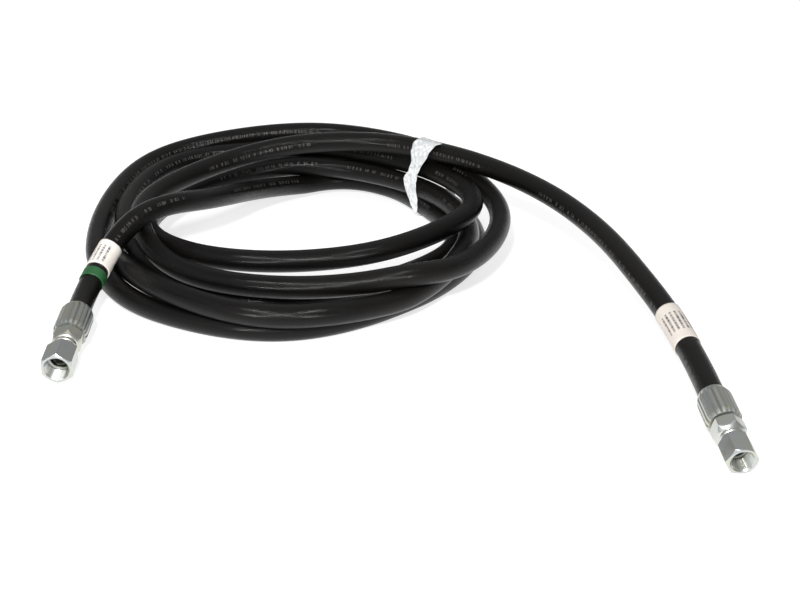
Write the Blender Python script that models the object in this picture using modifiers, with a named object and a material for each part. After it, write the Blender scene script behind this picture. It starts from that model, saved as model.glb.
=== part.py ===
"""Coiled hydraulic hose assembly: a one-wire rubber hose with a crimped swivel-nut fitting on each end.

The hose lies on the floor in five fanned turns, bundled by a film tie, with one end brought over the
coil at the left and the other swept out to the right. Lengths are in millimetres until to_metres().
"""
import math

import bmesh
import bpy
import numpy as np
from mathutils import Matrix, Vector

# ---------------------------------------------------------------- driving dimensions, millimetres
HOSE_D = 22.0                 # outside diameter of the hose
COVER_IN = 9.4                # radii of the hose's layers, measured to the corners of their eight sides
BRAID_OUT = 9.1
BRAID_IN = 8.5
LINER_OUT = 8.2
LINER_IN = 6.8
HOSE_SIDES = 8

FERRULE_BORE_R = 11.35
FERRULE_LIP_R = 8.6
FERRULE_LIP = 3.0
FERRULE_TAPER = 7.5            # how far the mouth's rim opens out to full size
FERRULE_RIM_R = 12.4
FLUTES = 18
FLUTE_R = 1.7
STEM_TUBE_R = 5.85
STEM_BORE_R = 4.6
NUT_LIP = 3.0

# The two fittings are the same design in two sizes. Distances run from the ferrule's mouth.
FITTINGS = {
    "left": {
        "axis": (0.0095, -0.9950, -0.0990),   # which way the fitting points
        "length": 95.0,
        "ferrule": 40.5,
        "ferrule_r": 15.5,
        "hex": (41.5, 52.0, 57.0),            # start, where its corners begin to cone in, end
        "hex_flats": 24.8,
        "collar_r": 11.6,
        "groove": (57.6, 58.8, 10.4),         # start, end, radius
        "ring": (59.4, 62.6, 11.4),
        "sleeve_r": 10.4,
        "nut": 67.0,                          # the nut's rear face
        "nut_flats": 26.3,
        "nut_turn": 3.3,                      # degrees about the axis
        "thread": (10.1, 11.1),               # minor and major radius
        "countersink_r": 11.3,
        "lip_r": 7.7,
        "neck_r": 7.4,
        "nose": 79.0,                         # the tip of the seat cone
        "nose_r": 8.9,
    },
    "right": {
        "axis": (0.0832, -0.9867, -0.1399),
        "length": 83.0,
        "ferrule": 37.0,
        "ferrule_r": 14.8,
        "hex": (38.0, 48.5, 53.0),
        "hex_flats": 24.6,
        "collar_r": 11.4,
        "groove": (53.6, 54.6, 10.2),
        "ring": (55.0, 57.0, 11.0),
        "sleeve_r": 10.4,
        "nut": 59.5,
        "nut_flats": 23.7,
        "nut_turn": 28.5,
        "thread": (8.65, 9.65),
        "countersink_r": 10.0,
        "lip_r": 6.9,
        "neck_r": 6.6,
        "nose": 67.0,
        "nose_r": 8.0,
    },
}

LABEL_R = (11.65, 12.0)       # inside and outside radius of the paper sleeves
BAND_R = (11.65, 11.95)
LEFT_BAND = (49.6, 62.1)      # distances along the hose from the ferrule's mouth
LEFT_LABEL = (67.6, 100.6)
RIGHT_LABEL = (71.5, 120.5)

TIE_BEARING = 41.0            # degrees, seen from the coil's centre
TIE_WIDTH = 17.0
TIE_FILM = 0.7
TIE_CLEAR = 0.6
TIE_LIFT = 1.5                # how far the film holds the hose off the floor

# ---------------------------------------------------------------- route of the hose, millimetres
COIL_CENTRE = (-84.7, 93.9)   # puts the middle of the assembly's footprint at the origin
BEARING_STEP = 45.0           # between the hand-set points of a turn
# Each turn runs clockwise from the back: (radius, height of the hose's centre) every 45 degrees. The first
# one starts a step later, where the left lead ends.
TURNS = [
    [(188, 11), (170, 11), (130, 11), (138, 11), (147, 14), (180, 36), (214, 50)],
    [(194, 52), (191, 55), (189, 57), (130, 45), (107, 40), (123, 38), (158, 33), (168, 33)],
    [(180, 39), (179, 38), (183, 33), (192, 32), (212, 31), (194, 27), (196, 13), (238, 11)],
    [(232, 11), (212, 11), (190, 11), (183, 11), (201, 11), (195, 12), (200, 31), (240, 52)],
    [(214, 68), (200, 62), (214, 47), (205, 34), (158, 32), (158, 37), (160, 55), (140, 66)],
]
# The two leads, from the coil's centre: the left one from its fitting in, the right one out to its fitting.
LEFT_LEAD = [
    (-187.6, -189.6, 24.8), (-187, -150, 29.3), (-182, -121, 37), (-177, -100, 46), (-167, -79, 57),
    (-152, -62, 69), (-130, -44, 74), (-98, -7, 66), (-68, 55, 51), (-56, 91, 42), (-33, 135, 32),
    (-7, 171, 24), (26, 194, 20), (50, 201, 17.5), (76, 197, 15), (103, 180, 12.5),
]
RIGHT_LEAD = [
    (0, 146, 77), (65, 150, 78), (125, 130, 78), (180, 89, 77), (228, 40, 76), (268, -16, 73),
    (306, -91, 65), (333.5, -177, 53), (350, -234, 42), (360, -287, 31.5), (363.5, -317, 28),
    (365.7, -347.4, 23.8),
]

STATIONS_PER_TURN = 24
LEAD_SPACING = 40.0
SETTLE_STEP = 10.0
SETTLE_ROUNDS = 200
STRAND_GAP = 22.6             # least distance between the centres of two strands
CLEAR_GAP = 22.4              # and between those of the solids' straight stretches
CLEAR_ROUNDS = 80


# ---------------------------------------------------------------- the hose's route
def resample(points, step):
    """The same line with evenly spaced points."""
    run = np.concatenate([[0.0], np.cumsum(np.linalg.norm(np.diff(points, axis=0), axis=1))])
    count = int(round(run[-1] / step))
    marks = np.linspace(0.0, run[-1], count + 1)
    return np.stack([np.interp(marks, run, points[:, k]) for k in range(3)], axis=1)


def smooth_through(points, samples=16):
    """Cubic curve through the points, its slope at each set by the two spans beside it."""
    points = np.asarray(points, float)
    span = np.linalg.norm(np.diff(points, axis=0), axis=1)
    chord = np.diff(points, axis=0) / span[:, None]
    slope = np.empty_like(points)
    slope[0], slope[-1] = chord[0], chord[-1]
    before, after = span[:-1, None], span[1:, None]
    slope[1:-1] = (after * chord[:-1] + before * chord[1:]) / (before + after)
    curve = []
    for i, length in enumerate(span):
        for t in np.linspace(0.0, 1.0, samples, endpoint=False):
            start = (2 * t**3 - 3 * t**2 + 1) * points[i] + (t**3 - 2 * t**2 + t) * length * slope[i]
            end = (3 * t**2 - 2 * t**3) * points[i + 1] + (t**3 - t**2) * length * slope[i + 1]
            curve.append(start + end)
    curve.append(points[-1])
    return np.array(curve)


def coil_points():
    """The hand-set points of the five turns, clockwise from the back."""
    points = []
    for turn in TURNS:
        for k, (radius, height) in enumerate(turn, start=8 - len(turn)):
            bearing = math.radians(90.0 - BEARING_STEP * k)
            points.append((radius * math.cos(bearing), radius * math.sin(bearing), height))
    return points


def resting_height(path):
    """Lowest height of the hose's centre: its radius, and a little more where the tie runs beneath it."""
    bearing = np.degrees(np.arctan2(path[:, 1], path[:, 0]))
    near = np.clip(1.0 - np.abs(bearing - TIE_BEARING) / 30.0, 0.0, 1.0)
    return HOSE_D / 2 + TIE_LIFT * np.minimum(1.0, 2.5 * near)


def settle(path):
    """Move the strands apart until they lie a hose's width from each other, on or above the floor."""
    count = len(path)
    index = np.arange(count)
    apart = np.abs(index[:, None] - index[None, :]) > 6
    shift = np.zeros_like(path)
    floor = resting_height(path)
    free = np.ones((count, 1))
    free[:6] = 0.0
    free[-6:] = 0.0
    for step in range(SETTLE_ROUNDS):
        now = path + shift
        square = ((now[:, None, :] - now[None, :, :]) ** 2).sum(axis=2)
        first, second = np.nonzero(apart & (square < STRAND_GAP**2))
        push = np.zeros_like(path)
        hits = np.ones(count)
        if len(first):
            line = now[first] - now[second]
            distance = np.sqrt(square[first, second])[:, None] + 1e-9
            np.add.at(push, first, 0.5 * (STRAND_GAP - distance) * line / distance)
            hits = np.maximum(np.bincount(first, minlength=count), 1)
        shift += free * push / hits[:, None]
        if step < SETTLE_ROUNDS - 25:
            shift[1:-1] += 0.5 * (0.5 * (shift[:-2] + shift[2:]) - shift[1:-1])
        shift[:, 2] = np.maximum(shift[:, 2], floor - path[:, 2])
    return path + shift


def hose_route():
    """Centre line of the hose from the left ferrule's mouth to the right one's, from the coil's centre."""
    path = resample(smooth_through(LEFT_LEAD + coil_points() + RIGHT_LEAD), SETTLE_STEP)
    for _ in range(6):
        path[1:-1] += 0.5 * (0.5 * (path[:-2] + path[2:]) - path[1:-1])
    return settle(path)


def separate(line):
    """Nudge the coarse line until the straight stretches of its strands lie clear of each other."""
    line = line.copy()
    first, second = np.triu_indices(len(line) - 1, 4)
    for _ in range(CLEAR_ROUNDS):
        one = line[first + 1] - line[first]
        two = line[second + 1] - line[second]
        gap = line[first] - line[second]
        one_one, two_two, one_two = (one * one).sum(axis=1), (two * two).sum(axis=1), (one * two).sum(axis=1)
        one_gap, two_gap = (one * gap).sum(axis=1), (two * gap).sum(axis=1)
        spread = np.maximum(one_one * two_two - one_two**2, 1e-6)
        s = np.clip((one_two * two_gap - two_two * one_gap) / spread, 0.0, 1.0)
        t = np.clip((one_two * s + two_gap) / two_two, 0.0, 1.0)
        s = np.clip((one_two * t - one_gap) / one_one, 0.0, 1.0)
        between = gap + s[:, None] * one - t[:, None] * two
        distance = np.linalg.norm(between, axis=1)
        near = distance < CLEAR_GAP
        push = (0.5 * (CLEAR_GAP - distance) / distance)[:, None] * between
        move = np.zeros_like(line)
        for index, share in ((first, 1.0 - s), (first + 1, s), (second, t - 1.0), (second + 1, -t)):
            np.add.at(move, index[near], share[near, None] * push[near])
        move[:2] = 0.0
        move[-2:] = 0.0
        line += move
        line[:, 2] = np.maximum(line[:, 2], np.minimum(resting_height(line), line[:, 2] - move[:, 2]))
    return line


def stations(path):
    """The coarser line the solids follow: the same bearings on every turn, even steps along the leads."""
    bearing = np.degrees(np.unwrap(np.arctan2(path[:, 1], path[:, 0])))
    first, last = -270.0, -270.0 - 360.0 * len(TURNS)
    marks = np.arange(first, last - 1.0, -360.0 / STATIONS_PER_TURN)
    coil = np.stack([np.interp(-marks, -bearing, path[:, k]) for k in range(3)], axis=1)
    left = resample(np.vstack([path[bearing > first], coil[:1]]), LEAD_SPACING)
    right = resample(np.vstack([coil[-1:], path[bearing < last]]), LEAD_SPACING)
    return separate(np.vstack([left[:-1], coil, right[1:]]))


def stretch_of(path, start, end):
    """The part of a line between two distances along it."""
    run = np.concatenate([[0.0], np.cumsum(np.linalg.norm(np.diff(path, axis=0), axis=1))])
    inside = run[(run > start + 2.0) & (run < end - 2.0)]
    marks = np.concatenate([[start], inside, [end]])
    return np.stack([np.interp(marks, run, path[:, k]) for k in range(3)], axis=1)


def to_metres(points):
    """From millimetres about the coil's centre to metres in the part's frame."""
    return (np.asarray(points) + np.array([COIL_CENTRE[0], COIL_CENTRE[1], 0.0])) * 0.001


# ---------------------------------------------------------------- small modelling helpers
def clear_scene():
    for old in list(bpy.data.objects):
        bpy.data.objects.remove(old, do_unlink=True)


def make_collection(name):
    made = bpy.data.collections.new(name)
    bpy.context.scene.collection.children.link(made)
    return made


def make_material(name, colour, roughness, metallic=0.0):
    made = bpy.data.materials.new(name)
    made.use_nodes = True
    shader = made.node_tree.nodes["Principled BSDF"]
    shader.inputs["Base Color"].default_value = (*colour, 1.0)
    shader.inputs["Roughness"].default_value = roughness
    shader.inputs["Metallic"].default_value = metallic
    return made


def add_object(name, mesh, material=None):
    made = bpy.data.objects.new(name, mesh)
    PARTS.objects.link(made)
    if material:
        mesh.materials.append(material)
    return made


def make_cutter(made):
    PARTS.objects.unlink(made)
    CUTTERS.objects.link(made)
    made.hide_render = True
    made.display_type = "WIRE"
    return made


def boolean(target, tool, operation):
    cut = target.modifiers.new(operation.lower(), "BOOLEAN")
    cut.operation = operation
    cut.solver = "EXACT"
    cut.object = tool


def shell_tube(name, path, outer, inner, sides, material):
    """An open tube about a line, given its wall by Solidify."""
    curve = bpy.data.curves.new(name + "_line", "CURVE")
    curve.dimensions = "3D"
    curve.bevel_depth = outer * 0.001
    curve.bevel_resolution = (sides - 4) // 2
    spline = curve.splines.new("POLY")
    spline.points.add(len(path) - 1)
    for point, place in zip(spline.points, to_metres(path)):
        point.co = (*place, 1.0)
    line = bpy.data.objects.new(name + "_line", curve)
    PARTS.objects.link(line)
    bpy.context.view_layer.update()
    mesh = bpy.data.meshes.new_from_object(line.evaluated_get(bpy.context.evaluated_depsgraph_get()))
    bpy.data.objects.remove(line, do_unlink=True)
    mesh.name = name
    mesh.materials.clear()
    made = add_object(name, mesh, material)
    wall = made.modifiers.new("wall", "SOLIDIFY")
    wall.thickness = (outer - inner) * math.cos(math.pi / sides) * 0.001
    wall.offset = -1.0
    wall.use_even_offset = True
    return made


def turned(name, profile, steps, material=None):
    """A closed profile of (radius, distance along the axis) turned about Z."""
    mesh = bpy.data.meshes.new(name)
    shape = bmesh.new()
    corners = [shape.verts.new((r * 0.001, 0.0, z * 0.001)) for r, z in profile]
    for k, corner in enumerate(corners):
        shape.edges.new((corner, corners[(k + 1) % len(corners)]))
    shape.to_mesh(mesh)
    shape.free()
    made = add_object(name, mesh, material)
    screw = made.modifiers.new("turn", "SCREW")
    screw.steps = steps
    screw.render_steps = steps
    screw.use_merge_vertices = True
    screw.merge_threshold = 0.00001
    return made


def hex_prism(name, flats, bottom, top, turn=0.0):
    mesh = bpy.data.meshes.new(name)
    shape = bmesh.new()
    radius = flats / math.sqrt(3.0) * 0.001
    bmesh.ops.create_cone(shape, cap_ends=True, segments=6, radius1=radius, radius2=radius,
                          depth=(top - bottom) * 0.001)
    place = Matrix.Translation((0.0, 0.0, (top + bottom) * 0.0005)) @ Matrix.Rotation(turn, 4, "Z")
    bmesh.ops.transform(shape, matrix=place, verts=shape.verts)
    shape.to_mesh(mesh)
    shape.free()
    return add_object(name, mesh)


# ---------------------------------------------------------------- the hose
def build_hose(line):
    """Rubber cover, steel wire braid and rubber liner, one inside the other."""
    shell_tube("hose_cover", line, HOSE_D / 2, COVER_IN, HOSE_SIDES, COVER_RUBBER)
    shell_tube("wire_braid", line, BRAID_OUT, BRAID_IN, HOSE_SIDES, BRAID_STEEL)
    shell_tube("inner_tube", line, LINER_OUT, LINER_IN, HOSE_SIDES, LINER_RUBBER)


def build_markers(left, right):
    """Paper sleeves near both ends and a coloured band beside the left one, all round the hose."""
    inner, outer = LABEL_R
    shell_tube("label_left", stretch_of(left, *LEFT_LABEL), outer, inner, 16, LABEL_PAPER)
    shell_tube("label_right", stretch_of(right, *RIGHT_LABEL), outer, inner, 16, LABEL_PAPER)
    inner, outer = BAND_R
    shell_tube("colour_band", stretch_of(left, *LEFT_BAND), outer, inner, 16, GREEN_TAPE)


def hull_around(points):
    """Convex outline of a set of (radius, height) points, anticlockwise."""
    ordered = sorted(set((round(x, 3), round(y, 3)) for x, y in points))
    outline = []
    for run in (ordered, ordered[::-1]):
        chain = []
        for p in run:
            while len(chain) > 1 and turn_of(chain[-2], chain[-1], p) <= 0.5:
                chain.pop()
            chain.append(p)
        outline += chain[:-1]
    return outline


def turn_of(a, b, c):
    return (b[0] - a[0]) * (c[1] - a[1]) - (b[1] - a[1]) * (c[0] - a[0])


def build_tie(line):
    """Film pulled tight round every strand at one bearing."""
    bearing = math.radians(TIE_BEARING)
    outward = np.array([math.cos(bearing), math.sin(bearing), 0.0])
    along = np.array([-math.sin(bearing), math.cos(bearing), 0.0])
    fine = resample(line, 3.0)
    slab = fine[(np.abs(fine @ along) < TIE_WIDTH / 2 + 4.0) & (fine @ outward > 0.0)]
    reach = HOSE_D / 2 + TIE_CLEAR
    ring = [math.radians(30.0 * k) for k in range(12)]
    points = []
    for p in slab:
        points += [(float(p @ outward) + reach * math.cos(a), float(p[2]) + reach * math.sin(a)) for a in ring]
    outline = hull_around(points)
    mesh = bpy.data.meshes.new("bundle_tie")
    shape = bmesh.new()
    edge = []
    for r, z in outline:
        place = outward * r - along * TIE_WIDTH / 2
        edge.append(shape.verts.new(to_metres([place[0], place[1], z])))
    rim = [shape.edges.new((edge[k], edge[(k + 1) % len(edge)])) for k in range(len(edge))]
    moved = bmesh.ops.extrude_edge_only(shape, edges=rim)["geom"]
    far = [v for v in moved if isinstance(v, bmesh.types.BMVert)]
    bmesh.ops.translate(shape, verts=far, vec=Vector(along * TIE_WIDTH * 0.001))
    bmesh.ops.recalc_face_normals(shape, faces=shape.faces)
    middle = sum((v.co for v in shape.verts), Vector()) / len(shape.verts)
    if sum(f.normal.dot(f.calc_center_median() - middle) for f in shape.faces) < 0:
        bmesh.ops.reverse_faces(shape, faces=shape.faces)
    shape.to_mesh(mesh)
    shape.free()
    made = add_object("bundle_tie", mesh, TIE_PLASTIC)
    wall = made.modifiers.new("film", "SOLIDIFY")
    wall.thickness = TIE_FILM * 0.001
    wall.offset = 1.0
    wall.use_even_offset = True


# ---------------------------------------------------------------- the fittings
def ferrule(side, size):
    """Crimped socket: a turned shell with an inward lip at the front and flutes pressed along it."""
    end, radius = size["ferrule"], size["ferrule_r"]
    profile = [
        (radius - 1.8, end), (radius, end - 5.0), (radius, FERRULE_TAPER), (FERRULE_RIM_R, 0.0),
        (FERRULE_BORE_R, 0.0), (FERRULE_BORE_R, end - FERRULE_LIP), (FERRULE_LIP_R, end - FERRULE_LIP),
        (FERRULE_LIP_R, end),
    ]
    made = turned("ferrule_" + side, profile, 36, FERRULE_ZINC)
    mesh = bpy.data.meshes.new("flutes_" + side)
    shape = bmesh.new()
    for k in range(FLUTES):
        angle = 2.0 * math.pi * (k + 0.5) / FLUTES
        reach = (radius + 0.85) * 0.001
        place = Matrix.Translation((reach * math.cos(angle), reach * math.sin(angle), end * 0.0005))
        bmesh.ops.create_cone(shape, cap_ends=True, segments=8, radius1=FLUTE_R * 0.001,
                              radius2=FLUTE_R * 0.001, depth=(end + 4.0) * 0.001, matrix=place)
    shape.to_mesh(mesh)
    shape.free()
    boolean(made, make_cutter(add_object("flutes_" + side, mesh)), "DIFFERENCE")
    return made


def stem(side, size):
    """Nipple through the hose's bore, spanner hex, collar and the flared seat that the nut pulls on."""
    low, cone, high = size["hex"]
    groove, groove_end, groove_r = size["groove"]
    ring, ring_end, ring_r = size["ring"]
    sleeve, neck = size["sleeve_r"], size["neck_r"]
    tube = size["ferrule"] - FERRULE_LIP + 0.6
    rear, nose, nose_r, collar = size["nut"], size["nose"], size["nose_r"], size["collar_r"]
    shoulder = rear + NUT_LIP + 0.4
    profile = [
        (5.2, nose), (nose_r, nose - 3.6), (nose_r, shoulder + 0.4), (neck, shoulder),
        (neck, rear - 0.6), (sleeve, rear - 0.6), (sleeve, ring_end + 0.4), (ring_r, ring_end),
        (ring_r, ring), (groove_r, groove_end), (groove_r, groove), (collar, high),
        (collar, low), (8.2, low), (8.2, tube), (STEM_TUBE_R, tube), (STEM_TUBE_R, 24.0), (5.5, 22.5),
        (STEM_TUBE_R, 12.0), (5.4, 4.0),
        (STEM_BORE_R, 4.0), (STEM_BORE_R, nose),
    ]
    made = turned("stem_" + side, profile, 28, STEM_ZINC)
    hexagon = hex_prism("stem_hex_" + side, size["hex_flats"], low, high, math.radians(12.0))
    corner = size["hex_flats"] / math.sqrt(3.0)
    rounding = [(collar - 0.1, high), (corner, cone), (corner, low + 1.6), (11.0, low), (9.0, low), (9.0, high)]
    limit = make_cutter(turned("stem_rounding_" + side, rounding, 28))
    ring_cut = make_cutter(hexagon)
    boolean(ring_cut, limit, "INTERSECT")
    boolean(made, ring_cut, "UNION")
    return made


def swivel_nut(side, size):
    """Long hex nut with chamfered ends, threaded at the front, its rear lip behind the seat's shoulder."""
    front, rear, flats = size["length"], size["nut"], size["nut_flats"]
    nose, chamber, lip, mouth = size["nose"], size["nose_r"] + 0.4, size["lip_r"], size["countersink_r"]
    minor, major = size["thread"]
    made = hex_prism("swivel_nut_" + side, flats, rear, front, math.radians(size["nut_turn"]))
    made.data.materials.append(NUT_ZINC)
    corner = flats / math.sqrt(3.0) + 0.2
    body = [
        (mouth, front), (flats / 2.0 - 0.15, front), (corner, front - 1.5),
        (corner, rear + 2.0), (flats / 2.0 - 0.8, rear), (lip, rear), (lip, rear + NUT_LIP),
        (chamber, rear + NUT_LIP + 0.3), (chamber, nose - 0.8), (major, nose + 0.2),
        (major, nose + 1.4), (minor, nose + 2.2), (minor, front - 1.2),
    ]
    boolean(made, make_cutter(turned("nut_turning_" + side, body, 36)), "INTERSECT")
    return made


def place_fitting(side, mouth):
    """Stand the three pieces of a fitting along its axis; the nut turns on its own empty."""
    size = FITTINGS[side]
    forward = Vector(size["axis"]).normalized()
    across = forward.cross(Vector((0.0, 0.0, 1.0))).normalized()
    upward = across.cross(forward)
    turn = Matrix((across, upward, forward)).transposed().to_4x4()
    matrix = Matrix.Translation(Vector(to_metres(mouth))) @ turn
    holder = bpy.data.objects.new("fitting_" + side, None)
    PARTS.objects.link(holder)
    holder.matrix_world = matrix
    for piece in (ferrule(side, size), stem(side, size), swivel_nut(side, size)):
        piece.parent = holder
    for tool in CUTTERS.objects:
        if tool.name.endswith("_" + side):
            tool.parent = holder


def inside_ferrule(side, mouth):
    """Where the hose's end stops, just short of the ferrule's front lip."""
    size = FITTINGS[side]
    axis = np.array(size["axis"]) / np.linalg.norm(size["axis"])
    return mouth + (size["ferrule"] - FERRULE_LIP - 1.0) * axis


def build():
    path = hose_route()
    line = stations(path)
    whole = np.vstack([inside_ferrule("left", line[0]), line, inside_ferrule("right", line[-1])])
    build_hose(whole)
    build_markers(line, line[::-1])
    build_tie(line)
    place_fitting("left", line[0])
    place_fitting("right", line[-1])


clear_scene()
PARTS = make_collection("hydraulic_hose_assembly")
CUTTERS = make_collection("cutters")
COVER_RUBBER = make_material("cover_rubber", (0.012, 0.012, 0.013), 0.42)
BRAID_STEEL = make_material("braid_steel", (0.55, 0.53, 0.48), 0.35, 1.0)
LINER_RUBBER = make_material("liner_rubber", (0.02, 0.02, 0.02), 0.6)
FERRULE_ZINC = make_material("ferrule_zinc", (0.56, 0.57, 0.56), 0.34, 1.0)
STEM_ZINC = make_material("stem_zinc", (0.60, 0.61, 0.60), 0.28, 1.0)
NUT_ZINC = make_material("nut_zinc", (0.58, 0.59, 0.59), 0.30, 1.0)
LABEL_PAPER = make_material("label_paper", (0.83, 0.81, 0.76), 0.6)
GREEN_TAPE = make_material("green_tape", (0.03, 0.22, 0.07), 0.45)
TIE_PLASTIC = make_material("tie_plastic", (0.78, 0.79, 0.78), 0.3)
build()
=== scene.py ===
"""A coiled hydraulic hose assembly on a white studio floor, seen from the front and a little above.

Lengths are in millimetres until to_metres() or MM turns them into metres.
"""
import math

import bpy
import numpy as np
from mathutils import Matrix, Vector


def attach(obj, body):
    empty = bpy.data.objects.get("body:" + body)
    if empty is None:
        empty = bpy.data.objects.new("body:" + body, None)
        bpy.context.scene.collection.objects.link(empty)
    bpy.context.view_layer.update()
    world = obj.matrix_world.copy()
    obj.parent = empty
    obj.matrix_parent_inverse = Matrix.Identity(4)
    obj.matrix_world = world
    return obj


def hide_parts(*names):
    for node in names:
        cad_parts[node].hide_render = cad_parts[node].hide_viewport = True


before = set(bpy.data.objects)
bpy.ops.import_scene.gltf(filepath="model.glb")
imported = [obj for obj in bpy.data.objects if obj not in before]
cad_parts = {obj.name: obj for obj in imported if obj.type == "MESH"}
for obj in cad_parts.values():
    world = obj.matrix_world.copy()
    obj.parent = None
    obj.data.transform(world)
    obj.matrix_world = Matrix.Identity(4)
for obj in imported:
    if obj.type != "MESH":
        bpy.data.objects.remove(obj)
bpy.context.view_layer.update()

MM = 0.001

# ---------------------------------------------------------------- the part's own dimensions
HOSE_R = 11.0
COVER_IN = 9.4
BRAID_OUT, BRAID_IN = 9.1, 8.5
LINER_OUT, LINER_IN = 8.2, 6.8
FERRULE_RIM_R = 12.4
FERRULE_TAPER = 7.5
FERRULE_BORE_R = 11.35
FERRULE_LIP_R = 8.6
FERRULE_LIP = 3.0
FLUTES = 18
NUT_LIP = 3.0
LEFT_BAND = (49.6, 62.1)
LEFT_LABEL = (67.6, 100.6)
RIGHT_LABEL = (71.5, 120.5)
TIE_BEARING = 41.0
TIE_LIFT = 1.5
TIE_SWING = (0.0, -0.5, -1.0, -2.5, -6.0, -2.0, 2.5, 5.0, 8.0)          # how far it is pulled round the coil
TIE_HEIGHTS = (0.04, 0.12, 0.24, 0.37, 0.49, 0.61, 0.73, 0.85, 1.0)      # up the inner side, floor to top
TIE_WIDTHS = (4.0, 8.0, 15.0, 18.5, 22.0, 15.5, 17.0, 27.0, 32.0)

# The two fittings are the same design in two sizes. Distances run from the ferrule's mouth.
FITTINGS = {
    "left": {
        "axis": (0.0095, -0.9950, -0.0990),   # which way the fitting points
        "length": 95.0,
        "ferrule": 40.5,
        "ferrule_r": 15.5,
        "hex": (41.5, 52.0, 57.0),            # start, where its corners begin to cone in, end
        "hex_flats": 24.8,
        "collar_r": 11.6,
        "groove": (57.6, 58.8, 10.4),         # start, end, radius
        "ring": (59.4, 62.6, 11.4),
        "sleeve_r": 10.4,
        "nut": 67.0,                          # the nut's rear face
        "nut_flats": 26.3,
        "nut_corner": 93.3,                   # degrees about the axis
        "pitch": 1.814,                       # of the thread
        "thread": (10.1, 11.1),               # minor and major radius
        "countersink_r": 11.3,
        "lip_r": 7.7,
        "neck_r": 7.4,
        "nose": 79.0,                         # the tip of the seat cone
        "nose_r": 8.9,
    },
    "right": {
        "axis": (0.0832, -0.9867, -0.1399),
        "length": 83.0,
        "ferrule": 37.0,
        "ferrule_r": 14.8,
        "hex": (38.0, 48.5, 53.0),
        "hex_flats": 24.6,
        "collar_r": 11.4,
        "groove": (53.6, 54.6, 10.2),
        "ring": (55.0, 57.0, 11.0),
        "sleeve_r": 10.4,
        "nut": 59.5,
        "nut_flats": 23.7,
        "nut_corner": 118.5,
        "pitch": 1.5875,
        "thread": (8.65, 9.65),
        "countersink_r": 10.0,
        "lip_r": 6.9,
        "neck_r": 6.6,
        "nose": 67.0,
        "nose_r": 8.0,
    },
}

# ---------------------------------------------------------------- camera
COIL_CENTRE = (-84.7, 93.9)         # where the coil's centre stands, from the middle of the footprint
CAMERA_RIGHT = 110.0                # where the camera stands from the coil's centre
CAMERA_IN_FRONT = 1302.0
CAMERA_HEIGHT = 556.0
PITCH_DOWN = 25.0
LENS = 59.985
SENSOR = 36.0
camera_data = bpy.data.cameras.new("camera")
camera_data.lens = LENS
camera_data.sensor_width = SENSOR
camera = bpy.data.objects.new("camera", camera_data)
camera.location = ((COIL_CENTRE[0] + CAMERA_RIGHT) * MM, (COIL_CENTRE[1] - CAMERA_IN_FRONT) * MM,
                   CAMERA_HEIGHT * MM)
camera.rotation_euler = (math.radians(90.0 - PITCH_DOWN), 0.0, 0.0)
bpy.context.scene.collection.objects.link(camera)
bpy.context.scene.camera = camera

# ---------------------------------------------------------------- route of the hose
HOSE_D = 22.0
BEARING_STEP = 45.0
TURNS = [
    [(188, 11), (170, 11), (130, 11), (138, 11), (147, 14), (180, 36), (214, 50)],
    [(194, 52), (191, 55), (189, 57), (130, 45), (107, 40), (123, 38), (158, 33), (168, 33)],
    [(180, 39), (179, 38), (183, 33), (192, 32), (212, 31), (194, 27), (196, 13), (238, 11)],
    [(232, 11), (212, 11), (190, 11), (183, 11), (201, 11), (195, 12), (200, 31), (240, 52)],
    [(214, 68), (200, 62), (214, 47), (205, 34), (158, 32), (158, 37), (160, 55), (140, 66)],
]
LEFT_LEAD = [
    (-187.6, -189.6, 24.8), (-187, -150, 29.3), (-182, -121, 37), (-177, -100, 46), (-167, -79, 57),
    (-152, -62, 69), (-130, -44, 74), (-98, -7, 66), (-68, 55, 51), (-56, 91, 42), (-33, 135, 32),
    (-7, 171, 24), (26, 194, 20), (50, 201, 17.5), (76, 197, 15), (103, 180, 12.5),
]
RIGHT_LEAD = [
    (0, 146, 77), (65, 150, 78), (125, 130, 78), (180, 89, 77), (228, 40, 76), (268, -16, 73),
    (306, -91, 65), (333.5, -177, 53), (350, -234, 42), (360, -287, 31.5), (363.5, -317, 28),
    (365.7, -347.4, 23.8),
]
SETTLE_STEP = 10.0
SETTLE_ROUNDS = 200
STRAND_GAP = 22.6


def resample(points, step):
    """The same line with evenly spaced points."""
    run = np.concatenate([[0.0], np.cumsum(np.linalg.norm(np.diff(points, axis=0), axis=1))])
    count = int(round(run[-1] / step))
    marks = np.linspace(0.0, run[-1], count + 1)
    return np.stack([np.interp(marks, run, points[:, k]) for k in range(3)], axis=1)


def smooth_through(points, samples=16):
    """Cubic curve through the points, its slope at each set by the two spans beside it."""
    points = np.asarray(points, float)
    span = np.linalg.norm(np.diff(points, axis=0), axis=1)
    chord = np.diff(points, axis=0) / span[:, None]
    slope = np.empty_like(points)
    slope[0], slope[-1] = chord[0], chord[-1]
    before, after = span[:-1, None], span[1:, None]
    slope[1:-1] = (after * chord[:-1] + before * chord[1:]) / (before + after)
    curve = []
    for i, length in enumerate(span):
        for t in np.linspace(0.0, 1.0, samples, endpoint=False):
            start = (2 * t**3 - 3 * t**2 + 1) * points[i] + (t**3 - 2 * t**2 + t) * length * slope[i]
            end = (3 * t**2 - 2 * t**3) * points[i + 1] + (t**3 - t**2) * length * slope[i + 1]
            curve.append(start + end)
    curve.append(points[-1])
    return np.array(curve)


def coil_points():
    """The listed points of the five turns, clockwise from the back."""
    points = []
    for turn in TURNS:
        for k, (radius, height) in enumerate(turn, start=8 - len(turn)):
            bearing = math.radians(90.0 - BEARING_STEP * k)
            points.append((radius * math.cos(bearing), radius * math.sin(bearing), height))
    return points


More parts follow.
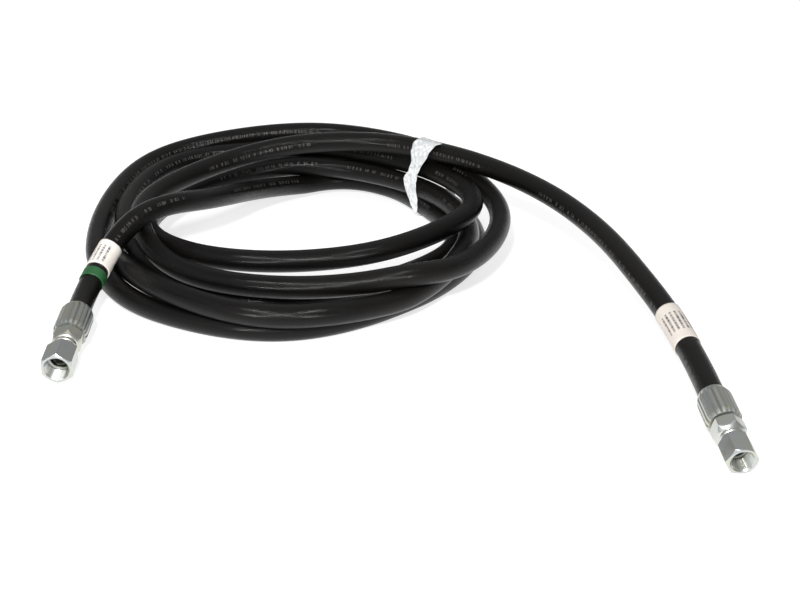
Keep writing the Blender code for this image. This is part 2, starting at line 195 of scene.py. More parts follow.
def resting_height(path):
    """Lowest height of the hose's centre: its radius, and a little more where the tie runs beneath it."""
    bearing = np.degrees(np.arctan2(path[:, 1], path[:, 0]))
    near = np.clip(1.0 - np.abs(bearing - TIE_BEARING) / 30.0, 0.0, 1.0)
    return HOSE_D / 2 + TIE_LIFT * np.minimum(1.0, 2.5 * near)


def settle(path):
    """Move the strands apart until they lie a hose's width from each other, on or above the floor."""
    count = len(path)
    index = np.arange(count)
    apart = np.abs(index[:, None] - index[None, :]) > 6
    shift = np.zeros_like(path)
    floor = resting_height(path)
    free = np.ones((count, 1))
    free[:6] = 0.0
    free[-6:] = 0.0
    for step in range(SETTLE_ROUNDS):
        now = path + shift
        square = ((now[:, None, :] - now[None, :, :]) ** 2).sum(axis=2)
        first, second = np.nonzero(apart & (square < STRAND_GAP**2))
        push = np.zeros_like(path)
        hits = np.ones(count)
        if len(first):
            line = now[first] - now[second]
            distance = np.sqrt(square[first, second])[:, None] + 1e-9
            np.add.at(push, first, 0.5 * (STRAND_GAP - distance) * line / distance)
            hits = np.maximum(np.bincount(first, minlength=count), 1)
        shift += free * push / hits[:, None]
        if step < SETTLE_ROUNDS - 25:
            shift[1:-1] += 0.5 * (0.5 * (shift[:-2] + shift[2:]) - shift[1:-1])
        shift[:, 2] = np.maximum(shift[:, 2], floor - path[:, 2])
    return path + shift


def hose_route():
    """Centre line of the hose from the left ferrule's mouth to the right one's, from the coil's centre."""
    path = resample(smooth_through(LEFT_LEAD + coil_points() + RIGHT_LEAD), SETTLE_STEP)
    for _ in range(6):
        path[1:-1] += 0.5 * (0.5 * (path[:-2] + path[2:]) - path[1:-1])
    return settle(path)


def stretch_of(path, start, end):
    """The part of a line between two distances along it."""
    run = np.concatenate([[0.0], np.cumsum(np.linalg.norm(np.diff(path, axis=0), axis=1))])
    inside = run[(run > start + 0.5) & (run < end - 0.5)]
    marks = np.concatenate([[start], inside, [end]])
    return np.stack([np.interp(marks, run, path[:, k]) for k in range(3)], axis=1)


def to_metres(points):
    """From millimetres about the coil's centre to metres in the part's frame."""
    return (np.asarray(points) + np.array([COIL_CENTRE[0], COIL_CENTRE[1], 0.0])) * MM


# ---------------------------------------------------------------- meshes from grids of points
def add_piece(name, mesh, material, body, node=None):
    """A mesh as a visible piece that rides on a body and stands for a CAD node."""
    made = bpy.data.objects.new(name, mesh)
    bpy.context.scene.collection.objects.link(made)
    mesh.materials.append(material)
    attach(made, body)
    if node:
        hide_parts(node)
    return made


def grid_mesh(name, rings, around, along, closed=True):
    """Quads between rings of points, joined round each ring, with a UV map in metres along and turns around.

    rings is (count, sides, 3). A closed one also joins its last ring to its first."""
    count, sides, _ = rings.shape
    points = rings.reshape(-1, 3)
    last = count if closed else count - 1
    i, j = np.meshgrid(np.arange(last), np.arange(sides), indexing="ij")
    k, n = (i + 1) % count, (j + 1) % sides
    faces = np.stack([i * sides + j, i * sides + n, k * sides + n, k * sides + j], axis=-1).reshape(-1, 4)
    mesh = bpy.data.meshes.new(name)
    mesh.from_pydata(points.tolist(), [], faces.tolist())
    after = np.minimum(i + 1, count - 1)
    u = np.stack([along[i], along[i], along[after], along[after]], -1)
    v = np.stack([around[j], around[j + 1], around[j + 1], around[j]], -1)
    layer = mesh.uv_layers.new(name="along_around")
    layer.data.foreach_set("uv", np.stack([u, v], axis=-1).astype(np.float32).ravel())
    mesh.polygons.foreach_set("use_smooth", np.ones(len(mesh.polygons), bool))
    mesh.update()
    return mesh


def frames_along(line):
    """Two directions across the line at each point, carried along it with no twist."""
    tangent = np.gradient(line, axis=0)
    tangent /= np.linalg.norm(tangent, axis=1)[:, None]
    side = np.cross(tangent[0], (0.0, 0.0, 1.0))
    sides = []
    for t in tangent:
        side = side - t * (side @ t)
        side = side / np.linalg.norm(side)
        sides.append(side)
    sides = np.array(sides)
    return sides, np.cross(tangent, sides)


def sleeve_mesh(name, line, outer, inner, sides, wall=None):
    """A tube with a wall, closed at both ends. line is in metres; outer and inner are radii in millimetres.

    wall, if given, is a function of (distance along in mm, angle) that adds to the outer radius."""
    across, up = frames_along(line)
    run = np.concatenate([[0.0], np.cumsum(np.linalg.norm(np.diff(line, axis=0), axis=1))])
    angle = np.linspace(0.0, 2.0 * math.pi, sides, endpoint=False)
    round_ = np.cos(angle)[None, :, None] * across[:, None, :] + np.sin(angle)[None, :, None] * up[:, None, :]
    extra = np.zeros((len(line), sides))
    if wall:
        extra = wall(run[:, None] / MM, angle[None, :])
    outside = line[:, None, :] + (outer + extra)[:, :, None] * MM * round_
    inside = line[:, None, :] + inner * MM * round_
    rings = np.concatenate([outside, inside[::-1]], axis=0)
    along = np.concatenate([run, run[::-1]])
    around = np.linspace(0.0, 1.0, sides + 1)
    return grid_mesh(name, rings, around, along)


def ring_of(radius, height, angles):
    """Points about Z at one height; radius is a number for each angle."""
    return np.stack([radius * np.cos(angles), radius * np.sin(angles), np.full(len(angles), height)], axis=1)


def turned_rings(profile, angles, limit=None):
    """Rings about Z from (radius, height) pairs, in metres; limit caps the radius at each angle."""
    rings = []
    for radius, height in profile:
        r = np.full(len(angles), radius, float)
        if limit is not None:
            r = np.minimum(r, limit)
        rings.append(ring_of(r, height, angles))
    return np.array(rings) * MM


# ---------------------------------------------------------------- materials
class Paint:
    """A node material with a Principled shader, and short names for the nodes it is built from."""

    def __init__(self, name):
        self.material = bpy.data.materials.new(name)
        self.material.use_nodes = True
        self.tree = self.material.node_tree
        self.shader = self.tree.nodes["Principled BSDF"]

    def set(self, **values):
        for key, value in values.items():
            self.shader.inputs[key.replace("_", " ")].default_value = value
        return self

    def add(self, kind, inputs=(), **settings):
        node = self.tree.nodes.new(kind)
        for key, value in settings.items():
            setattr(node, key, value)
        for key, value in dict(inputs).items():
            if hasattr(value, "is_output"):
                self.tree.links.new(value, node.inputs[key])
            else:
                node.inputs[key].default_value = value
        return node

    def link(self, output, name):
        self.tree.links.new(output, self.shader.inputs[name])

    def place(self):
        return self.add("ShaderNodeTexCoord").outputs["Object"]

    def unrolled(self):
        """Metres along the piece and turns around it."""
        node = self.add("ShaderNodeUVMap", uv_map="along_around")
        return self.add("ShaderNodeSeparateXYZ", {"Vector": node.outputs["UV"]})

    def noise(self, scale, detail=2.0, rough=0.5, vector=None, distortion=0.0):
        node = self.add("ShaderNodeTexNoise", {
            "Vector": vector or self.place(), "Scale": scale, "Detail": detail, "Roughness": rough,
            "Distortion": distortion})
        return node.outputs["Fac"]

    def math(self, operation, a, b=0.0, c=0.0):
        return self.add("ShaderNodeMath", {0: a, 1: b, 2: c}, operation=operation).outputs[0]

    def ramp(self, value, stops):
        node = self.add("ShaderNodeValToRGB", {"Fac": value})
        marks = node.color_ramp.elements
        while len(marks) < len(stops):
            marks.new(0.5)
        for mark, (position, colour) in zip(marks, stops):
            mark.position = position
            mark.color = (*colour, 1.0)
        return node.outputs["Color"]

    def grey(self, value, stops):
        return self.ramp(value, [(position, (level,) * 3) for position, level in stops])

    def mix(self, factor, a, b, blend="MIX"):
        node = self.add("ShaderNodeMix", data_type="RGBA", blend_type=blend)
        for key, value in ((0, factor), (6, a), (7, b)):
            if hasattr(value, "is_output"):
                self.tree.links.new(value, node.inputs[key])
            elif key:
                node.inputs[key].default_value = (*value, 1.0)
            else:
                node.inputs[key].default_value = value
        return node.outputs[2]

    def bump(self, height, strength, distance):
        node = self.add("ShaderNodeBump", {"Height": height, "Strength": strength, "Distance": distance})
        self.link(node.outputs["Normal"], "Normal")


def stripes(paint, value, width):
    """A smooth wave of a value, from 0 to 1 and back over each width."""
    wave = paint.math("SINE", paint.math("MULTIPLY", value, 2.0 * math.pi / width))
    return paint.math("MULTIPLY", paint.math("ADD", wave, 1.0), 0.5)


WEAVE_WIDTH = 0.0021            # of the cloth's impression in the rubber, in metres
MARKS_AT = 0.84                 # turn round the hose where its row of marks runs
MARKS_HALF_WIDTH = 0.026


def rubber():
    """Black cover rubber with the faint criss-cross of the wrapping cloth and a line of marks."""
    paint = Paint("cover_rubber")
    where = paint.unrolled()
    along, turn = where.outputs["X"], where.outputs["Y"]
    girth = paint.math("MULTIPLY", turn, 2.0 * math.pi * HOSE_R * MM)
    one = stripes(paint, paint.math("ADD", along, girth), WEAVE_WIDTH)
    other = stripes(paint, paint.math("SUBTRACT", along, girth), WEAVE_WIDTH)
    weave = paint.math("MAXIMUM", one, other)
    flow = paint.noise(26.0, 4.0, 0.6)
    scuff = paint.noise(520.0, 3.0, 0.6)
    dust = paint.noise(7.0, 3.0, 0.55)
    dusty = paint.grey(dust, [(0.35, 0.0), (0.75, 1.0)])
    base = paint.mix(dusty, (0.0025, 0.0023, 0.0022), (0.006, 0.0053, 0.0048))
    base = paint.mix(paint.grey(scuff, [(0.62, 0.0), (0.8, 0.35)]), base, (0.022, 0.021, 0.020))
    off_row = paint.math("ABSOLUTE", paint.math("SUBTRACT", turn, MARKS_AT))
    row = paint.math("LESS_THAN", off_row, MARKS_HALF_WIDTH)
    cells = paint.add("ShaderNodeCombineXYZ", {"X": along, "Y": 0.0, "Z": 0.0}).outputs[0]
    letters = paint.math("GREATER_THAN", paint.noise(420.0, 0.0, 0.5, vector=cells), 0.5)
    words = paint.math("GREATER_THAN", paint.noise(9.0, 0.0, 0.5, vector=cells), 0.46)
    marks = paint.math("MULTIPLY", paint.math("MULTIPLY", row, letters), words)
    worn = paint.grey(scuff, [(0.4, 0.25), (0.6, 0.7)])
    marks = paint.math("MULTIPLY", marks, worn)
    base = paint.mix(marks, base, (0.075, 0.072, 0.068))
    paint.link(base, "Base Color")
    rough = paint.math("ADD", paint.math("MULTIPLY", flow, 0.12), paint.math("MULTIPLY", scuff, 0.08))
    paint.link(paint.math("ADD", rough, 0.10), "Roughness")
    height = paint.math("ADD", paint.math("MULTIPLY", weave, 0.7), paint.math("MULTIPLY", scuff, 0.5))
    paint.bump(height, 0.85, 0.0003)
    return paint.set(IOR=1.5, Specular_IOR_Level=0.17).material


def zinc(name, tint, rough):
    """Zinc plate: grey metal with a faint yellow and blue film, cloudy polish and fine tool marks."""
    paint = Paint(name)
    cloud = paint.noise(90.0, 4.0, 0.6, distortion=0.4)
    film = paint.noise(38.0, 2.0, 0.5)
    speck = paint.noise(900.0, 2.0, 0.6)
    yellowish = (tint[0] * 1.03, tint[1], tint[2] * 0.9)
    bluish = (tint[0] * 0.86, tint[1] * 0.92, tint[2])
    warm = paint.mix(paint.grey(film, [(0.38, 0.0), (0.62, 1.0)]), tint, yellowish)
    cool = paint.mix(paint.grey(cloud, [(0.45, 0.0), (0.7, 0.8)]), warm, bluish)
    base = paint.mix(paint.grey(speck, [(0.66, 0.0), (0.78, 0.35)]), cool, (0.32, 0.31, 0.29))
    paint.link(base, "Base Color")
    spread = paint.math("ADD", paint.math("MULTIPLY", cloud, 0.22), paint.math("MULTIPLY", speck, 0.08))
    paint.link(paint.math("ADD", spread, rough - 0.14), "Roughness")
    paint.bump(paint.math("ADD", paint.math("MULTIPLY", speck, 0.4), cloud), 0.16, 0.0004)
    return paint.set(Metallic=1.0).material


def printed(name, base_colour, ink, start, width, rows, spread):
    """Paper with a block of unreadable printed dashes.

    The block starts at a distance along the hose and has a width, both in mm. Its rows are counted per whole
    turn, and spread holds the turn round the hose where the block is centred and half its extent."""
    paint = Paint(name)
    where = paint.unrolled()
    along, turn = where.outputs["X"], where.outputs["Y"]
    fibre = paint.noise(1500.0, 3.0, 0.6)
    stain = paint.noise(60.0, 3.0, 0.55)
    stained = tuple(c * 0.9 for c in base_colour)
    paper = paint.mix(paint.grey(stain, [(0.3, 0.0), (0.75, 1.0)]), base_colour, stained)
    row = paint.math("FRACT", paint.math("MULTIPLY", turn, rows))
    in_row = paint.math("MULTIPLY", paint.math("GREATER_THAN", row, 0.3), paint.math("LESS_THAN", row, 0.78))
    number = paint.math("FLOOR", paint.math("MULTIPLY", turn, rows))
    letter = paint.add("ShaderNodeCombineXYZ", {
        "X": along, "Y": paint.math("MULTIPLY", number, 7.3), "Z": 0.0})
    cells = paint.add("ShaderNodeTexNoise", {
        "Vector": letter.outputs[0], "Scale": 900.0, "Detail": 0.0, "Roughness": 0.5}).outputs["Fac"]
    dash = paint.math("GREATER_THAN", cells, 0.47)
    inside = paint.math("MULTIPLY", paint.math("GREATER_THAN", along, start * MM),
                        paint.math("LESS_THAN", along, (start + width) * MM))
    band = paint.math("MULTIPLY", inside, paint.math("LESS_THAN", paint.math("ABSOLUTE", paint.math(
        "SUBTRACT", turn, spread[0])), spread[1]))
    mark = paint.math("MULTIPLY", paint.math("MULTIPLY", in_row, dash), band)
    paint.link(paint.mix(paint.math("MULTIPLY", mark, 0.85), paper, ink), "Base Color")
    paint.link(paint.math("ADD", paint.math("MULTIPLY", fibre, 0.25), 0.38), "Roughness")
    paint.bump(paint.math("ADD", fibre, paint.math("MULTIPLY", stain, 2.0)), 0.25, 0.0003)
    return paint.material


def green_tape():
    """Green tape with a slightly patchy colour."""
    paint = Paint("green_tape")
    grain = paint.noise(700.0, 3.0, 0.6)
    blotch = paint.noise(90.0, 3.0, 0.5)
    patches = paint.grey(blotch, [(0.3, 0.0), (0.7, 1.0)])
    base = paint.mix(patches, (0.010, 0.075, 0.020), (0.018, 0.105, 0.032))
    specks = paint.grey(grain, [(0.62, 0.0), (0.8, 0.3)])
    paint.link(paint.mix(specks, base, (0.12, 0.32, 0.18)), "Base Color")
    paint.link(paint.math("ADD", paint.math("MULTIPLY", grain, 0.25), 0.30), "Roughness")
    paint.bump(grain, 0.2, 0.0002)
    return paint.material


def film():
    """Thin crinkled plastic: clear where it is stretched flat, milky where it is folded."""
    paint = Paint("tie_plastic")
    fold = paint.noise(140.0, 4.0, 0.65, distortion=1.2)
    fine = paint.noise(600.0, 3.0, 0.6)
    base = paint.mix(paint.grey(fold, [(0.35, 0.0), (0.65, 1.0)]), (0.74, 0.77, 0.79), (0.95, 0.95, 0.95))
    paint.link(base, "Base Color")
    paint.link(paint.math("ADD", paint.math("MULTIPLY", fine, 0.2), 0.15), "Roughness")
    paint.link(paint.grey(fold, [(0.3, 0.6), (0.7, 0.96)]), "Alpha")
    paint.bump(paint.math("ADD", fold, paint.math("MULTIPLY", fine, 0.35)), 0.9, 0.0016)
    return paint.material


def layer_paint(name, colour, metallic, rough, scale):
    """The steel braid and the rubber liner, seen only where the hose is cut."""
    paint = Paint(name)
    grain = paint.noise(scale, 3.0, 0.6)
    dark = tuple(c * 0.6 for c in colour)
    paint.link(paint.mix(paint.grey(grain, [(0.3, 0.0), (0.7, 1.0)]), dark, colour), "Base Color")
    paint.link(paint.math("ADD", paint.math("MULTIPLY", grain, 0.2), rough), "Roughness")
    paint.bump(grain, 0.3, 0.0003)
    return paint.set(Metallic=metallic).material


COVER_RUBBER = rubber()
FERRULE_ZINC = zinc("ferrule_zinc", (0.48, 0.49, 0.47), 0.38)
STEM_ZINC = zinc("stem_zinc", (0.53, 0.54, 0.52), 0.32)
NUT_ZINC = zinc("nut_zinc", (0.50, 0.52, 0.51), 0.31)
GREEN_TAPE = green_tape()
TIE_PLASTIC = film()
BRAID_STEEL = layer_paint("braid_steel", (0.55, 0.53, 0.48), 1.0, 0.25, 1600.0)
LINER_RUBBER = layer_paint("liner_rubber", (0.022, 0.021, 0.02), 0.0, 0.5, 700.0)
LEFT_PAPER = printed("label_paper_left", (0.80, 0.75, 0.69), (0.05, 0.05, 0.06),
                     start=4.0, width=22.0, rows=15.0, spread=(0.72, 0.16))
# Painted shade: the right sleeve is the same paper as the left, its colour painted darker to offset the
# stronger key light that falls on it.
RIGHT_PAPER_PAINTED_SHADE = printed("label_paper_right_painted_shade", (0.60, 0.55, 0.50), (0.04, 0.04, 0.05),
                      start=12.0, width=25.0, rows=17.0, spread=(0.75, 0.2))


# ---------------------------------------------------------------- the hose and what is wrapped round it
COVER_STEP, COVER_SIDES = 4.0, 40       # distance between rings in mm, and points in each
LAYER_STEP, LAYER_SIDES = 8.0, 24
WRAP_STEP, WRAP_SIDES = 1.5, 64
WRAP_IN = 11.06
LABEL_OUT = 11.95
BAND_OUT = 11.9
CRUMPLE = 0.06


def finer(line, step):
    """The same line in metres with more points, smoothed so that no corner shows."""
    line = resample(line, 4.0)
    for _ in range(4):
        line[1:-1] += 0.5 * (0.5 * (line[:-2] + line[2:]) - line[1:-1])
    return to_metres(resample(line, step))


def build_hose(whole):
    """Cover, wire braid and liner, one inside the other, from inside one ferrule to inside the other."""
    line = finer(whole, COVER_STEP)
    skin = sleeve_mesh("hose_cover_skin", line, HOSE_R, COVER_IN, COVER_SIDES)
    cover = add_piece("hose_cover_skin", skin, COVER_RUBBER, "hose", "hose_cover")
    coarse = finer(whole, LAYER_STEP)
    wires = sleeve_mesh("wire_braid_layer", coarse, BRAID_OUT, BRAID_IN, LAYER_SIDES)
    braid = add_piece("wire_braid_layer", wires, BRAID_STEEL, "hose", "wire_braid")
    tube = sleeve_mesh("inner_tube_layer", coarse, LINER_OUT, LINER_IN, LAYER_SIDES)
    liner = add_piece("inner_tube_layer", tube, LINER_RUBBER, "hose", "inner_tube")
    return cover, line


def crumple(size, seed):
    """A small, smooth unevenness of a wrapped sleeve."""
    def wall(along, angle):
        waves = np.sin(0.9 * along + seed + 2.0 * np.sin(angle + seed)) * np.sin(3.0 * angle + 0.31 * along)
        return size * (waves + 0.6 * np.sin(7.0 * angle + seed) * np.sin(0.5 * along))
    return wall


def build_markers(left, right):
    """The two paper sleeves and the green band; left and right are the route from each end."""
    pieces = []
    for name, line, span, outer, paint, slot, seed in (
            ("label_left", left, LEFT_LABEL, LABEL_OUT, LEFT_PAPER, "label_paper", 1.0),
            ("label_right", right, RIGHT_LABEL, LABEL_OUT, RIGHT_PAPER_PAINTED_SHADE, "label_paper", 2.2),
            ("colour_band", left, LEFT_BAND, BAND_OUT, GREEN_TAPE, "green_tape", 3.1)):
        stretch = to_metres(resample(stretch_of(line, *span), WRAP_STEP))
        mesh = sleeve_mesh(name + "_wrap", stretch, outer, WRAP_IN, WRAP_SIDES, crumple(CRUMPLE, seed))
        made = add_piece(name + "_wrap", mesh, paint, "hose", name)
        pieces.append(made)
    return pieces


# ---------------------------------------------------------------- the fittings
STEM_CORNER = 102.0             # degrees about the axis to a corner of the spanner hexagon
FLUTE_DEPTH = 1.0
RIB_HEIGHT = 0.10


def hex_angles(corner):
    """Angles round a hexagon, close together beside each of its rounded corners."""
    steps = (0.0, 0.8, 1.6, 2.1, 8.0, 15.0, 22.5, 30.0, 37.5, 45.0, 52.0, 57.9, 58.4, 59.2)
    return np.radians([corner + 60.0 * k + step for k in range(6) for step in steps])


def hex_radius(angles, corner, flats, rounding=0.7):
    """Distance from the axis to a hexagon with rounded corners, at each angle."""
    off = (np.degrees(angles) - corner + 30.0) % 60.0 - 30.0
    off = np.radians(np.abs(off))
    flat = flats / 2.0 / np.cos(math.pi / 6.0 - off)
    centre = (flats / 2.0 - rounding) / math.cos(math.pi / 6.0)
    inside = np.maximum(rounding**2 - (centre * np.sin(off)) ** 2, 0.0)
    arc = centre * np.cos(off) + np.sqrt(inside)
    reach = math.atan(rounding * 0.5 / (centre + rounding * math.cos(math.pi / 6.0)))
    return np.where(off <= reach, arc, flat)


def dense(profile, step):
    """The same outline of (radius, height) with points no further apart than step."""
    out = [profile[0]]
    for a, b in zip(profile[:-1], profile[1:]):
        length = math.hypot(b[0] - a[0], b[1] - a[1])
        count = max(1, int(math.ceil(length / step)))
        for k in range(1, count + 1):
            out.append((a[0] + (b[0] - a[0]) * k / count, a[1] + (b[1] - a[1]) * k / count))
    return out


def lathe_mesh(name, rings, sharp=32.0):
    """A closed body from rings about Z, its outline first up the outside and then down the inside."""
    centre = rings.mean(axis=1)
    reach = np.linalg.norm(rings[:, 0] - centre, axis=1)
    steps = np.linalg.norm(np.diff(np.stack([reach, centre[:, 2]], axis=1), axis=0), axis=1)
    along = np.concatenate([[0.0], np.cumsum(steps)])
    around = np.linspace(0.0, 1.0, rings.shape[1] + 1)
    mesh = grid_mesh(name, rings, around, along)
    mesh.set_sharp_from_angle(angle=math.radians(sharp))
    return mesh


def ferrule_mesh(name, size):
    """The crimped socket: rounded ribs between pressed grooves that run out at both tapered ends."""
    end, full = size["ferrule"], size["ferrule_r"]
    angles = np.linspace(0.0, 2.0 * math.pi, FLUTES * 14, endpoint=False)
    wave = (angles * FLUTES / (2.0 * math.pi)) % 1.0
    groove = np.clip(1.0 - np.abs(wave - 0.5) / 0.21, 0.0, 1.0) ** 0.8
    rib = RIB_HEIGHT * np.cos(2.0 * math.pi * wave)
    rings = []
    for z in np.linspace(0.0, end, 61):
        mouth = min(1.0, z / FERRULE_TAPER)
        tail = min(1.0, (end - z) / 5.0)
        body = full - (full - FERRULE_RIM_R) * (1.0 - mouth) ** 1.4 - 1.5 * (1.0 - tail) ** 1.5
        depth = FLUTE_DEPTH * min(1.0, mouth * 1.6) * min(1.0, tail * 1.9 + 0.15)
        radius = body + (rib - depth * groove) * min(1.0, 0.2 + mouth)
        rings.append(ring_of(radius, z, angles))
    rings = np.array(rings) * MM
    inside = [(FERRULE_LIP_R, end), (FERRULE_LIP_R, end - FERRULE_LIP), (FERRULE_BORE_R, end - FERRULE_LIP),
              (FERRULE_BORE_R, 0.6), (FERRULE_BORE_R + 0.3, 0.0)]
    return lathe_mesh(name, np.concatenate([rings, turned_rings(inside, angles)]), 40.0)


def stem_mesh(name, size):
    """Barbed tail, spanner hex coned in at the front, groove, ring, sleeve, neck and seat cone."""
    low, cone, high = size["hex"]
    groove, groove_end, groove_r = size["groove"]
    ring, ring_end, ring_r = size["ring"]
    collar, sleeve, neck = size["collar_r"], size["sleeve_r"], size["neck_r"]
    nose, nose_r = size["nose"], size["nose_r"]
    rear = size["nut"]
    shoulder = rear + NUT_LIP + 0.4
    tube = size["ferrule"] - FERRULE_LIP + 0.6
    angles = hex_angles(STEM_CORNER)
    limit = hex_radius(angles, STEM_CORNER, size["hex_flats"], 0.9)
    widest = size["hex_flats"] / math.sqrt(3.0)
    barbs = [(5.4, 4.0), (5.85, 12.0), (5.5, 22.5), (5.85, 24.0), (5.85, tube), (8.2, tube)]
    shank = turned_rings(barbs, angles)
    rise = dense([(8.2, low), (10.6, low), (widest, low + 2.0)], 0.2)
    fall = dense([(widest, cone), (collar, high)], 0.2)
    hexagon = turned_rings(rise + fall, angles, limit)
    tail = [
        (collar - 0.1, high + 0.1), (groove_r + 0.3, groove - 0.1),
        (groove_r, groove + 0.2), (groove_r, groove_end),
        (ring_r - 0.3, ring), (ring_r, ring + 0.4), (ring_r, ring_end - 0.4), (ring_r - 0.3, ring_end),
        (sleeve, ring_end + 0.3), (sleeve, rear - 0.6), (neck, rear - 0.5), (neck, shoulder),
        (nose_r, shoulder + 0.4), (nose_r, nose - 3.6), (nose_r - 0.15, nose - 3.2), (5.3, nose - 0.1),
        (5.1, nose), (4.7, nose), (4.6, nose - 0.2), (4.6, 4.0),
    ]
    return lathe_mesh(name, np.concatenate([shank, hexagon, turned_rings(tail, angles)]), 36.0)


def nut_mesh(name, size):
    """Long swivel nut: hexagon, chamfered ends, short rear skirt and a real internal thread."""
    front, rear, flats, corner = size["length"], size["nut"], size["nut_flats"], size["nut_corner"]
    minor, major = size["thread"]
    pitch, nose, lip = size["pitch"], size["nose"], size["lip_r"]
    chamber = size["nose_r"] + 0.4
    angles = hex_angles(corner)
    limit = hex_radius(angles, corner, flats)
    reach = flats / math.sqrt(3.0) + 0.2
    half = flats / 2.0
    skirt = [(lip, rear), (half - 1.0, rear), (half - 0.8, rear + 0.1), (reach, rear + 2.0)]
    point = [(reach, front - 1.6), (half - 0.15, front - 0.1), (half - 0.3, front),
             (size["countersink_r"], front), (minor + 0.1, front - 1.2)]
    outside = turned_rings(dense(skirt, 0.2), angles, limit)
    front_rings = turned_rings(dense(point, 0.16), angles, limit)
    thread = []
    bottom = nose + 2.2
    turns = (front - 1.2 - bottom) / pitch
    for k in range(int(turns * 10) + 1):
        z = front - 1.2 - k * pitch / 10.0
        phase = (z / pitch - angles / (2.0 * math.pi)) % 1.0
        cut = np.clip(1.15 - 2.3 * np.abs(phase - 0.5), 0.0, 1.0)
        radius = minor + (major - minor) * cut * min(1.0, k / 5.0)
        thread.append(ring_of(radius, z, angles))
    inside = [(major, bottom - 0.4), (major, nose + 0.2), (chamber, nose - 0.8),
              (chamber, rear + NUT_LIP + 0.3), (lip, rear + NUT_LIP)]
    rings = np.concatenate([outside, front_rings, np.array(thread) * MM, turned_rings(inside, angles)])
    return lathe_mesh(name, rings, 34.0)


def axis_of(side):
    """The unit vector that a fitting points along."""
    axis = np.array(FITTINGS[side]["axis"])
    return axis / np.linalg.norm(axis)


def place_fitting(side, mouth):
    """The three pieces of a fitting along its axis; the nut rides on its own body."""
    size = FITTINGS[side]
    forward = Vector(axis_of(side))
    across = forward.cross(Vector((0.0, 0.0, 1.0))).normalized()
    upward = across.cross(forward)
    turn = Matrix((across, upward, forward)).transposed().to_4x4()
    matrix = Matrix.Translation(Vector(to_metres(mouth))) @ turn
    made = []
    for kind, mesh, paint, body, node in (
            ("ferrule", ferrule_mesh("ferrule_shape_" + side, size), FERRULE_ZINC, "hose", "ferrule_"),
            ("stem", stem_mesh("stem_shape_" + side, size), STEM_ZINC, "hose", "stem_"),
            ("nut", nut_mesh("nut_shape_" + side, size), NUT_ZINC, "nut_" + side, "swivel_nut_")):
        mesh.transform(matrix)
        piece = add_piece(kind + "_shape_" + side, mesh, paint, body, node + side)
        made.append(piece)
    return made


# ---------------------------------------------------------------- the tie
FILM_R = 11.35                  # from a strand's centre to the film
FILM_WALL = 0.00012             # in metres
TIE_BACK_WIDTH = 15.0
TIE_STEP = 1.2                  # between rows of the film's mesh
TIE_LOWEST = 0.35               # the film's clearance from the floor


def turn_of(a, b, c):
    """Positive where a, b and c turn anticlockwise."""
    return (b[0] - a[0]) * (c[1] - a[1]) - (b[1] - a[1]) * (c[0] - a[0])


def hull_around(points):
    """Convex outline of a set of (radius, height) points, anticlockwise."""
    ordered = sorted(set((round(x, 3), round(y, 3)) for x, y in points))
    outline = []
    for run in (ordered, ordered[::-1]):
        chain = []
        for p in run:
            while len(chain) > 1 and turn_of(chain[-2], chain[-1], p) <= 0.0:
                chain.pop()
            chain.append(p)
        outline += chain[:-1]
    return outline


def build_tie(route):
    """Film pulled round every strand at one bearing, wide on top and gathered down the inner side."""
    bearing = math.radians(TIE_BEARING)
    outward = np.array([math.cos(bearing), math.sin(bearing), 0.0])
    along = np.array([-math.sin(bearing), math.cos(bearing), 0.0])
    near = route[(np.abs(route @ along) < 10.0) & (route @ outward > 0.0)]
    ring = np.linspace(0.0, 2.0 * math.pi, 36, endpoint=False)
    points = []
    for p in near:
        reach, level = float(p @ outward), float(p[2])
        points += [(reach + FILM_R * math.cos(a), level + FILM_R * math.sin(a)) for a in ring]
    hull = hull_around(points)
    outline = np.array(hull + hull[:1])
    loop = resample(np.column_stack([outline, np.zeros(len(outline))]), TIE_STEP)[:-1, :2]
    ahead = np.roll(loop, -1, axis=0) - np.roll(loop, 1, axis=0)
    out = np.stack([ahead[:, 1], -ahead[:, 0]], axis=1) / np.linalg.norm(ahead, axis=1)[:, None]
    height = loop[:, 1] / loop[:, 1].max()
    inner_side = loop[:, 0] < loop[:, 0].mean()
    gathered = np.interp(height, TIE_HEIGHTS, TIE_WIDTHS)
    swing = np.interp(height, TIE_HEIGHTS, TIE_SWING)
    width = np.where(inner_side, gathered, TIE_BACK_WIDTH)
    for _ in range(6):
        width = (np.roll(width, 1) + width + np.roll(width, -1)) / 3.0
    steps = np.linspace(-0.5, 0.5, 21)
    rows = []
    for k, (r, z) in enumerate(loop):
        fold = 0.5 * np.sin(23.0 * steps + 0.55 * k) + 0.35 * np.sin(41.0 * steps - 0.8 * k + 1.3)
        lift = 0.45 + np.maximum(fold, -0.6) * 0.55
        middle = outward * r + np.array([0.0, 0.0, z]) - along * swing[k]
        push = outward * out[k, 0] + np.array([0.0, 0.0, out[k, 1]])
        rows.append(middle + np.outer(steps * width[k], along) + np.outer(lift, push))
    sheet = np.array(rows)
    sheet[:, :, 2] = np.maximum(sheet[:, :, 2], TIE_LOWEST)
    points = to_metres(sheet.reshape(-1, 3))
    count, across = sheet.shape[:2]
    faces = []
    for k in range(count):
        n = (k + 1) % count
        here, there = k * across, n * across
        faces += [(here + j, here + j + 1, there + j + 1, there + j) for j in range(across - 1)]
    mesh = bpy.data.meshes.new("tie_film")
    mesh.from_pydata(points.tolist(), [], faces)
    mesh.polygons.foreach_set("use_smooth", np.ones(len(mesh.polygons), bool))
    mesh.update()
    made = add_piece("tie_film", mesh, TIE_PLASTIC, "hose", "bundle_tie")
    wall = made.modifiers.new("film", "SOLIDIFY")
    wall.thickness = FILM_WALL
    wall.offset = 0.0
    return made


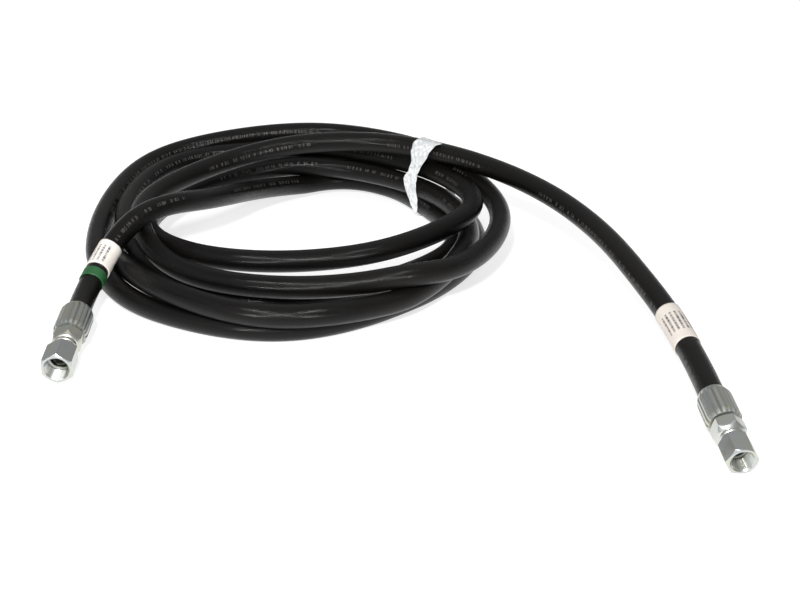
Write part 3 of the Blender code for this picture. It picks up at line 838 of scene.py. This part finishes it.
# ---------------------------------------------------------------- put it together
path = hose_route()
ends = []
for side, mouth in (("left", path[0]), ("right", path[-1])):
    ends.append(mouth + (FITTINGS[side]["ferrule"] - FERRULE_LIP - 1.0) * axis_of(side))
hose, hose_line = build_hose(np.vstack([ends[0], path, ends[1]]))
markers = build_markers(path, path[::-1])
tie = build_tie(path)
left_fitting = place_fitting("left", path[0])
right_fitting = place_fitting("right", path[-1])

# ---------------------------------------------------------------- floor and light
floor = bpy.data.meshes.new("floor")
corners = [(-6.0, -4.0, 0.0), (6.0, -4.0, 0.0), (6.0, 9.0, 0.0), (-6.0, 9.0, 0.0)]
floor.from_pydata(corners, [], [(0, 1, 2, 3)])
floor_piece = bpy.data.objects.new("floor", floor)
bpy.context.scene.collection.objects.link(floor_piece)
floor_paint = Paint("floor")
floor_paint.set(Base_Color=(0.45, 0.45, 0.45, 1.0), Roughness=0.6, Emission_Color=(1.0, 1.0, 1.0, 1.0),
                Emission_Strength=0.74)
floor.materials.append(floor_paint.material)

world = bpy.data.worlds.new("studio")
world.use_nodes = True
world.node_tree.nodes["Background"].inputs["Color"].default_value = (1.0, 1.0, 1.0, 1.0)
world.node_tree.nodes["Background"].inputs["Strength"].default_value = 0.4
bpy.context.scene.world = world
bpy.context.scene.view_settings.view_transform = "Standard"


def softbox(name, location, target, size, power):
    """A rectangular lamp that faces a point; lengths in metres, power in watts."""
    light = bpy.data.lights.new(name, "AREA")
    light.shape = "RECTANGLE"
    light.size, light.size_y = size
    light.energy = power
    made = bpy.data.objects.new(name, light)
    made.location = location
    made.rotation_euler = (Vector(target) - Vector(location)).to_track_quat("-Z", "Y").to_euler()
    bpy.context.scene.collection.objects.link(made)


softbox("key_light", (-0.1, -1.3, 0.98), (-0.08, 0.1, 0.0), (0.10, 0.14), 28.0)
softbox("top_light", (0.2, 0.0, 2.2), (0.0, 0.0, 0.0), (2.4, 1.6), 6.0)
softbox("fill_light", (-1.3, -1.2, 1.2), (-0.1, 0.0, 0.05), (1.0, 1.0), 6.0)
